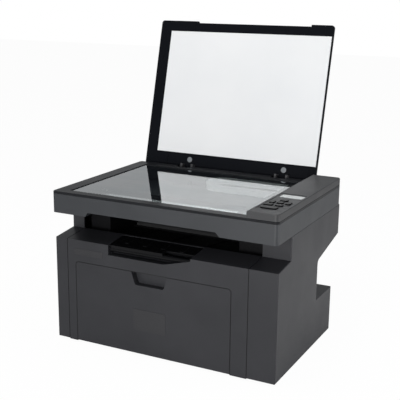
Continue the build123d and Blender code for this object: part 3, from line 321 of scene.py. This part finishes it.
def board_green(name):
    """Circuit board laminate with copper tracks showing through the lacquer."""
    material, tree, shader, coordinates = new_material(name)
    tracks = tree.nodes.new("ShaderNodeTexBrick")
    tracks.inputs["Scale"].default_value = 160.0
    tracks.inputs["Mortar Size"].default_value = 0.03
    tracks.inputs["Color1"].default_value = (0.02, 0.13, 0.05, 1.0)
    tracks.inputs["Color2"].default_value = (0.015, 0.10, 0.04, 1.0)
    tracks.inputs["Mortar"].default_value = (0.09, 0.26, 0.10, 1.0)
    tree.links.new(coordinates.outputs["Object"], tracks.inputs["Vector"])
    tree.links.new(tracks.outputs["Color"], shader.inputs["Base Color"])
    fine = noise(tree, coordinates, 700.0, 3.0, 0.5)
    tree.links.new(spread(tree, fine, 0.25, 0.45), shader.inputs["Roughness"])
    grain(tree, shader, tracks.outputs["Fac"], 0.4, 0.00005)
    return material


# Moulded plastics: what differs from the defaults of moulded(); the edge value sets how much the
# edges are painted paler, as wear and painted highlight
PLASTICS = {
    "casing": dict(
        colour=(0.0165, 0.0168, 0.0195), roughness=0.40, edge_wear_and_highlight=0.10, specular=0.65, ior=1.3,
    ),
    "scanner": dict(colour=(0.018, 0.0198, 0.0228), roughness=0.42, specular=0.38),
    "panel": dict(colour=(0.012, 0.0123, 0.014), roughness=0.42, edge_wear_and_highlight=0.3, specular=0.45),
    "bezel": dict(
        colour=(0.009, 0.0095, 0.011), roughness=0.30, edge_wear_and_highlight=0.2, specular=0.35, ior=1.25,
    ),
    "bay": dict(colour=(0.0025, 0.0025, 0.003), roughness=0.6, edge_wear_and_highlight=0.03, specular=0.08),
    "lid_inner": dict(colour=(0.0035, 0.0040, 0.0055), edge_wear_and_highlight=0.10, specular=0.03),
    "lid_outer": dict(colour=(0.020, 0.021, 0.024), roughness=0.45, specular=0.28),
    "stop": dict(
        colour=(0.003, 0.003, 0.0035), roughness=0.25, grain_scale=900.0, grain_depth=0.00003,
        edge_wear_and_highlight=0.3, specular=0.12,
    ),
    "button": dict(
        colour=(0.0012, 0.0012, 0.0015), roughness=0.07, grain_scale=300.0,
        grain_depth=0.000003, edge_wear_and_highlight=0.1, ior=1.13,
    ),
    "badge": dict(colour=(0.018, 0.018, 0.020), edge_wear_and_highlight=0.2, specular=0.28),
    "inner": dict(colour=(0.014, 0.014, 0.016), roughness=0.55, edge_wear_and_highlight=0.15),
    "gear": dict(
        colour=(0.62, 0.60, 0.54), roughness=0.4, grain_scale=400.0, grain_depth=0.00005,
        edge_wear_and_highlight=0.1, vary=0.05,
    ),
    "cable": dict(
        colour=(0.88, 0.89, 0.90), roughness=0.35, grain_scale=300.0, grain_depth=0.00002,
        edge_wear_and_highlight=0.0, vary=0.03,
    ),
    "cap": dict(colour=(0.12, 0.13, 0.14), roughness=0.4, edge_wear_and_highlight=0.15),
}

MATERIALS = {key: moulded(key + "_plastic", **values) for key, values in PLASTICS.items()}
MATERIALS["drum"] = moulded(
    "drum_coating", (0.03, 0.17, 0.13), 0.15, 200.0, 0.00001, edge_wear_and_highlight=0.1, vary=0.05,
)
MATERIALS["rubber"] = rubber("roller_rubber", (0.022, 0.022, 0.023))
# Near-black material for the strips of painted shade in the seams
MATERIALS["shade_strip"] = rubber("seam_shade_black", (0.0012, 0.0012, 0.0013))
MATERIALS["steel"] = metal("sheet_steel", (0.56, 0.56, 0.57), 0.35, (1.0, 1.0, 14.0))
MATERIALS["bar"] = metal("turned_bar", (0.66, 0.66, 0.67), 0.2, (14.0, 1.0, 1.0))
MATERIALS["pad"] = sheet_white("pad_sheet")
MATERIALS["glass"] = platen("platen_glass")
MATERIALS["screen"] = screen("display_screen")
MATERIALS["board"] = board_green("circuit_board")

FINISHES = {
    "casing": (
        "left_side_cover", "right_side_cover", "front_cover", "tray_flap", "rear_panel",
        "rear_cover", "base_pan",
    ),
    "scanner": ("scanner_base", "hinge_beam"),
    "panel": ("control_panel",),
    "bezel": ("scanner_bezel",),
    "bay": ("output_tray", "exit_housing"),
    "lid_inner": ("lid_frame",),
    "lid_outer": ("lid_shell",),
    "stop": ("paper_stop",),
    "button": (
        "button_upper_wide", "button_lower_wide", "button_left", "button_up", "button_centre",
        "button_right", "button_down",
    ),
    "badge": ("blank_badge",),
    "inner": (
        "laser_unit", "scan_carriage", "toner_cartridge", "paper_guide_left", "paper_guide_right",
        "power_switch", "rear_sockets", "hinge_posts", "lid_hinge_arms",
    ),
    "gear": ("drive_gear", "motor_pinion", "exit_idler_gear", "idler_pulley", "drive_pulley"),
    "cable": ("ribbon_cable",),
    "drum": ("drum", "fuser_roller"),
    "rubber": (
        "rubber_feet", "pickup_roller", "registration_roller", "transfer_roller",
        "pressure_roller", "exit_roller", "exit_pinch_roller", "scan_belt",
    ),
    "steel": ("side_frames", "paper_lift_plate", "main_motor", "scan_motor"),
    "bar": ("guide_rail", "case_screws"),
    "pad": ("lid_pad",),
    "glass": ("platen_glass",),
    "screen": ("display",),
    "board": ("circuit_boards",),
}

# Edge rounding in metres for the pieces whose edges catch the light
ROUNDED = {
    "left_side_cover": 0.0010,
    "right_side_cover": 0.0010,
    "front_cover": 0.0007,
    "tray_flap": 0.0007,
    "scanner_base": 0.0008,
    "scanner_bezel": 0.0004,
    "control_panel": 0.0005,
    "lid_shell": 0.0012,
    "lid_frame": 0.0004,
    "lid_hinge_arms": 0.0004,
    "hinge_beam": 0.0005,
    "lid_pad": 0.0005,
    "paper_stop": 0.0006,
    "output_tray": 0.0005,
    "exit_housing": 0.0005,
    "rear_panel": 0.0006,
    "rear_cover": 0.0006,
    "blank_badge": 0.0002,
    "display": 0.0002,
    "scan_carriage": 0.0005,
    "power_switch": 0.0005,
    "button_upper_wide": 0.0011,
    "button_lower_wide": 0.0011,
    "button_left": 0.0011,
    "button_up": 0.0011,
    "button_centre": 0.0011,
    "button_right": 0.0011,
    "button_down": 0.0011,
}


def finish_nodes():
    for key, nodes in FINISHES.items():
        for name in nodes:
            piece = frame["nodes"][name]
            for slot in piece.material_slots:
                slot.material = MATERIALS[key]


def round_edges():
    for name, width in ROUNDED.items():
        bevel = frame["nodes"][name].modifiers.new("rounded_edges", "BEVEL")
        bevel.width = width
        bevel.segments = 4 if name.startswith("button_") else 2
        bevel.limit_method = "ANGLE"
        bevel.angle_limit = math.radians(28)
        bevel.use_clamp_overlap = True
        bevel.harden_normals = False


def add_piece(name, mesh_builder, material, body):
    """Make one mesh piece from a bmesh builder, with its finish and the body that carries it."""
    mesh = bpy.data.meshes.new(name)
    shape = bmesh.new()
    mesh_builder(shape)
    bmesh.ops.recalc_face_normals(shape, faces=shape.faces[:])
    shape.to_mesh(mesh)
    shape.free()
    piece = bpy.data.objects.new(name, mesh)
    bpy.context.scene.collection.objects.link(piece)
    mesh.materials.append(MATERIALS[material])
    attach(piece, body)
    return piece


def rounded_plate(centre, size, thickness, radius, across, up, out, steps=5):
    """Builder for a plate with rounded corners, spanned by across and up and facing out."""
    def build(shape):
        rims = []
        for depth, inset in ((0.0, 0.0), (thickness * 0.6, 0.0), (thickness, thickness * 0.4)):
            rim = []
            half_x = size[0] / 2 - inset
            half_y = size[1] / 2 - inset
            for corner, (sign_x, sign_y) in enumerate(((1, 1), (-1, 1), (-1, -1), (1, -1))):
                for step in range(steps + 1):
                    angle = math.pi / 2 * (corner + step / steps)
                    x = sign_x * (half_x - radius) + radius * math.cos(angle)
                    y = sign_y * (half_y - radius) + radius * math.sin(angle)
                    rim.append(shape.verts.new(centre + across * x + up * y + out * depth))
            rims.append(rim)
        count = len(rims[0])
        for lower, upper in zip(rims, rims[1:]):
            for index in range(count):
                following = (index + 1) % count
                shape.faces.new((lower[index], lower[following], upper[following], upper[index]))
        shape.faces.new(rims[-1])
        shape.faces.new(list(reversed(rims[0])))
    return build


def disc(centre, radius, thickness, up, out, steps=32):
    """Builder for a round cap with an eased rim."""
    def build(shape):
        across = up.cross(out)
        rims = []
        for depth, reach in ((0.0, radius), (thickness * 0.5, radius), (thickness, radius * 0.85)):
            rim = []
            for step in range(steps):
                angle = 2 * math.pi * step / steps
                arm = across * math.cos(angle) + up * math.sin(angle)
                rim.append(shape.verts.new(centre + arm * reach + out * depth))
            rims.append(rim)
        for lower, upper in zip(rims, rims[1:]):
            for index in range(steps):
                following = (index + 1) % steps
                shape.faces.new((lower[index], lower[following], upper[following], upper[index]))
        shape.faces.new(rims[-1])
        shape.faces.new(list(reversed(rims[0])))
    return build


def shade_strip(outer, inner, front, back):
    """Builder for a strip between two lines of (x, z) millimetres, from front to back in y."""
    def build(shape):
        rows = []
        for y in (front, back):
            for line in (outer, inner):
                rows.append([shape.verts.new(place(x, y, z)) for x, z in line])
        loop = (rows[0], rows[1], rows[3], rows[2])
        for index in range(len(outer) - 1):
            following = index + 1
            for first, second in zip(loop, loop[1:] + loop[:1]):
                shape.faces.new((first[index], first[following], second[following], second[index]))
        for end in (0, -1):
            shape.faces.new([row[end] for row in loop])
    return build


def arch(left, right, foot, top, radius, steps=6):
    """Points of an upturned U with rounded corners, in (x, z) millimetres."""
    points = [(left, foot)]
    for middle, start in ((left + radius, math.pi), (right - radius, math.pi / 2)):
        for step in range(steps + 1):
            angle = start - math.pi / 2 * step / steps
            x = middle + radius * math.cos(angle)
            z = top - radius + radius * math.sin(angle)
            points.append((x, z))
    points.append((right, foot))
    return points


def seam_shade_strips():
    """Near-black strips in the gaps around the front cover and around its flap: painted shade for
    the seams.
    """
    for side, (edge, reach) in COVER_EDGES.items():
        near = [(edge, SHADE_STRIP_FOOT), (edge, SHADE_STRIP_TOP)]
        far = [(reach, SHADE_STRIP_FOOT), (reach, SHADE_STRIP_TOP)]
        strip = shade_strip(near, far, SHADE_STRIP_FRONT, SHADE_STRIP_BACK)
        add_piece("seam_shade_strip_" + side, strip, "shade_strip", "front_cover")
    left, right, top, radius = FLAP_OPENING
    inset = SHADE_STRIP_WIDTH
    outer = arch(left, right, SHADE_STRIP_FOOT, top, radius)
    inner = arch(left + inset, right - inset, SHADE_STRIP_FOOT, top - inset, radius - inset)
    ring = shade_strip(outer, inner, SHADE_STRIP_FRONT, SHADE_STRIP_BACK)
    add_piece("flap_shade_strip", ring, "shade_strip", "front_cover")


def details():
    across = Vector((1, 0, 0))
    rearward = Vector((0, 1, 0))
    up = Vector((0, 0, 1))
    plate = rounded_plate(
        place(*NAME_PLATE_AT), NAME_PLATE_SIZE, NAME_PLATE_THICK, NAME_PLATE_CORNER,
        across, up, -rearward,
    )
    add_piece("bare_name_plate", plate, "badge", "front_cover")
    lean = math.radians(LID_LEAN)
    face = Vector((0, -math.sin(lean), -math.cos(lean)))
    along = Vector((0, -math.cos(lean), math.sin(lean)))
    for side, x in (("left", HINGE_X[0]), ("right", HINGE_X[1])):
        offset = along * CAP_ALONG * MM - face * CAP_HEIGHT * MM
        cap = disc(place(x, AXIS_Y, AXIS_Z) + offset, CAP_RADIUS, CAP_THICK, along, face)
        add_piece("screw_cap_" + side, cap, "cap", "lid")
    lens = rounded_plate(
        place(*LENS_AT), LENS_SIZE, LENS_THICK, LENS_CORNER, across, rearward, up,
    )
    add_piece("lens_window", lens, "screen", "scan_carriage")


def stage():
    floor_mesh = bpy.data.meshes.new("floor")
    corners = [(x * FLOOR_HALF, y * FLOOR_HALF, 0) for x, y in ((-1, -1), (1, -1), (1, 1), (-1, 1))]
    floor_mesh.from_pydata(corners, [], [(0, 1, 2, 3)])
    floor = bpy.data.objects.new("floor", floor_mesh)
    bpy.context.scene.collection.objects.link(floor)
    material = bpy.data.materials.new("floor_white")
    material.use_nodes = True
    tree = material.node_tree
    tree.nodes.clear()
    output = tree.nodes.new("ShaderNodeOutputMaterial")
    diffuse = tree.nodes.new("ShaderNodeBsdfDiffuse")
    diffuse.inputs["Color"].default_value = (0.9, 0.9, 0.9, 1.0)
    glow = tree.nodes.new("ShaderNodeEmission")
    glow.inputs["Color"].default_value = (1.0, 1.0, 1.0, 1.0)
    glow.inputs["Strength"].default_value = 1.0
    path = tree.nodes.new("ShaderNodeLightPath")
    share = tree.nodes.new("ShaderNodeMath")
    share.operation = "MULTIPLY"
    share.inputs[1].default_value = FLOOR_WHITE
    tree.links.new(path.outputs["Is Camera Ray"], share.inputs[0])
    mix = tree.nodes.new("ShaderNodeMixShader")
    tree.links.new(share.outputs["Value"], mix.inputs["Fac"])
    tree.links.new(diffuse.outputs["BSDF"], mix.inputs[1])
    tree.links.new(glow.outputs["Emission"], mix.inputs[2])
    tree.links.new(mix.outputs["Shader"], output.inputs["Surface"])
    floor_mesh.materials.append(material)


def world():
    surroundings = bpy.data.worlds.new("studio")
    bpy.context.scene.world = surroundings
    surroundings.use_nodes = True
    tree = surroundings.node_tree
    tree.nodes.clear()
    output = tree.nodes.new("ShaderNodeOutputWorld")
    white = tree.nodes.new("ShaderNodeBackground")
    white.inputs["Color"].default_value = (1.0, 1.0, 1.0, 1.0)
    white.inputs["Strength"].default_value = 1.0
    fill = tree.nodes.new("ShaderNodeBackground")
    fill.inputs["Color"].default_value = (0.96, 0.98, 1.0, 1.0)
    path = tree.nodes.new("ShaderNodeLightPath")
    strength = spread(tree, path.outputs["Is Glossy Ray"], FILL, MIRRORED_FILL, 0.0, 1.0)
    tree.links.new(strength, fill.inputs["Strength"])
    mix = tree.nodes.new("ShaderNodeMixShader")
    tree.links.new(path.outputs["Is Camera Ray"], mix.inputs["Fac"])
    tree.links.new(fill.outputs["Background"], mix.inputs[1])
    tree.links.new(white.outputs["Background"], mix.inputs[2])
    tree.links.new(mix.outputs["Shader"], output.inputs["Surface"])


def lamp(name, location, size, power):
    light = bpy.data.lights.new(name, "AREA")
    light.shape = "RECTANGLE"
    light.size = size[0]
    light.size_y = size[1]
    light.energy = power
    lamp_object = bpy.data.objects.new(name, light)
    lamp_object.location = location
    direction = Vector(LAMP_TARGET) - Vector(location)
    lamp_object.rotation_euler = direction.to_track_quat("-Z", "Y").to_euler()
    bpy.context.scene.collection.objects.link(lamp_object)


def lights():
    for name, (location, size, power) in LAMPS.items():
        lamp(name, location, size, power)


def camera():
    azimuth = math.radians(CAMERA_AZIMUTH)
    elevation = math.radians(CAMERA_ELEVATION)
    roll = math.radians(CAMERA_ROLL)
    back = Vector((
        math.sin(azimuth) * math.cos(elevation),
        -math.cos(azimuth) * math.cos(elevation),
        math.sin(elevation),
    ))
    right = Vector((math.cos(azimuth), math.sin(azimuth), 0.0))
    up = back.cross(right)
    turned_right = right * math.cos(roll) + up * math.sin(roll)
    turned_up = up * math.cos(roll) - right * math.sin(roll)
    rotation = Matrix((turned_right, turned_up, back)).transposed()
    lens = bpy.data.cameras.new("camera")
    lens.sensor_width = SENSOR
    lens.lens = FOCAL_PIXELS / FRAME_PIXELS * SENSOR
    lens.clip_start = 0.05
    lens.clip_end = 30.0
    view = bpy.data.objects.new("camera", lens)
    view.matrix_world = Matrix.Translation(CAMERA_PLACE) @ rotation.to_4x4()
    bpy.context.scene.collection.objects.link(view)
    bpy.context.scene.camera = view


camera()
finish_nodes()
round_edges()
details()
seam_shade_strips()
stage()
world()
lights()
bpy.context.scene.view_settings.view_transform = "Standard"
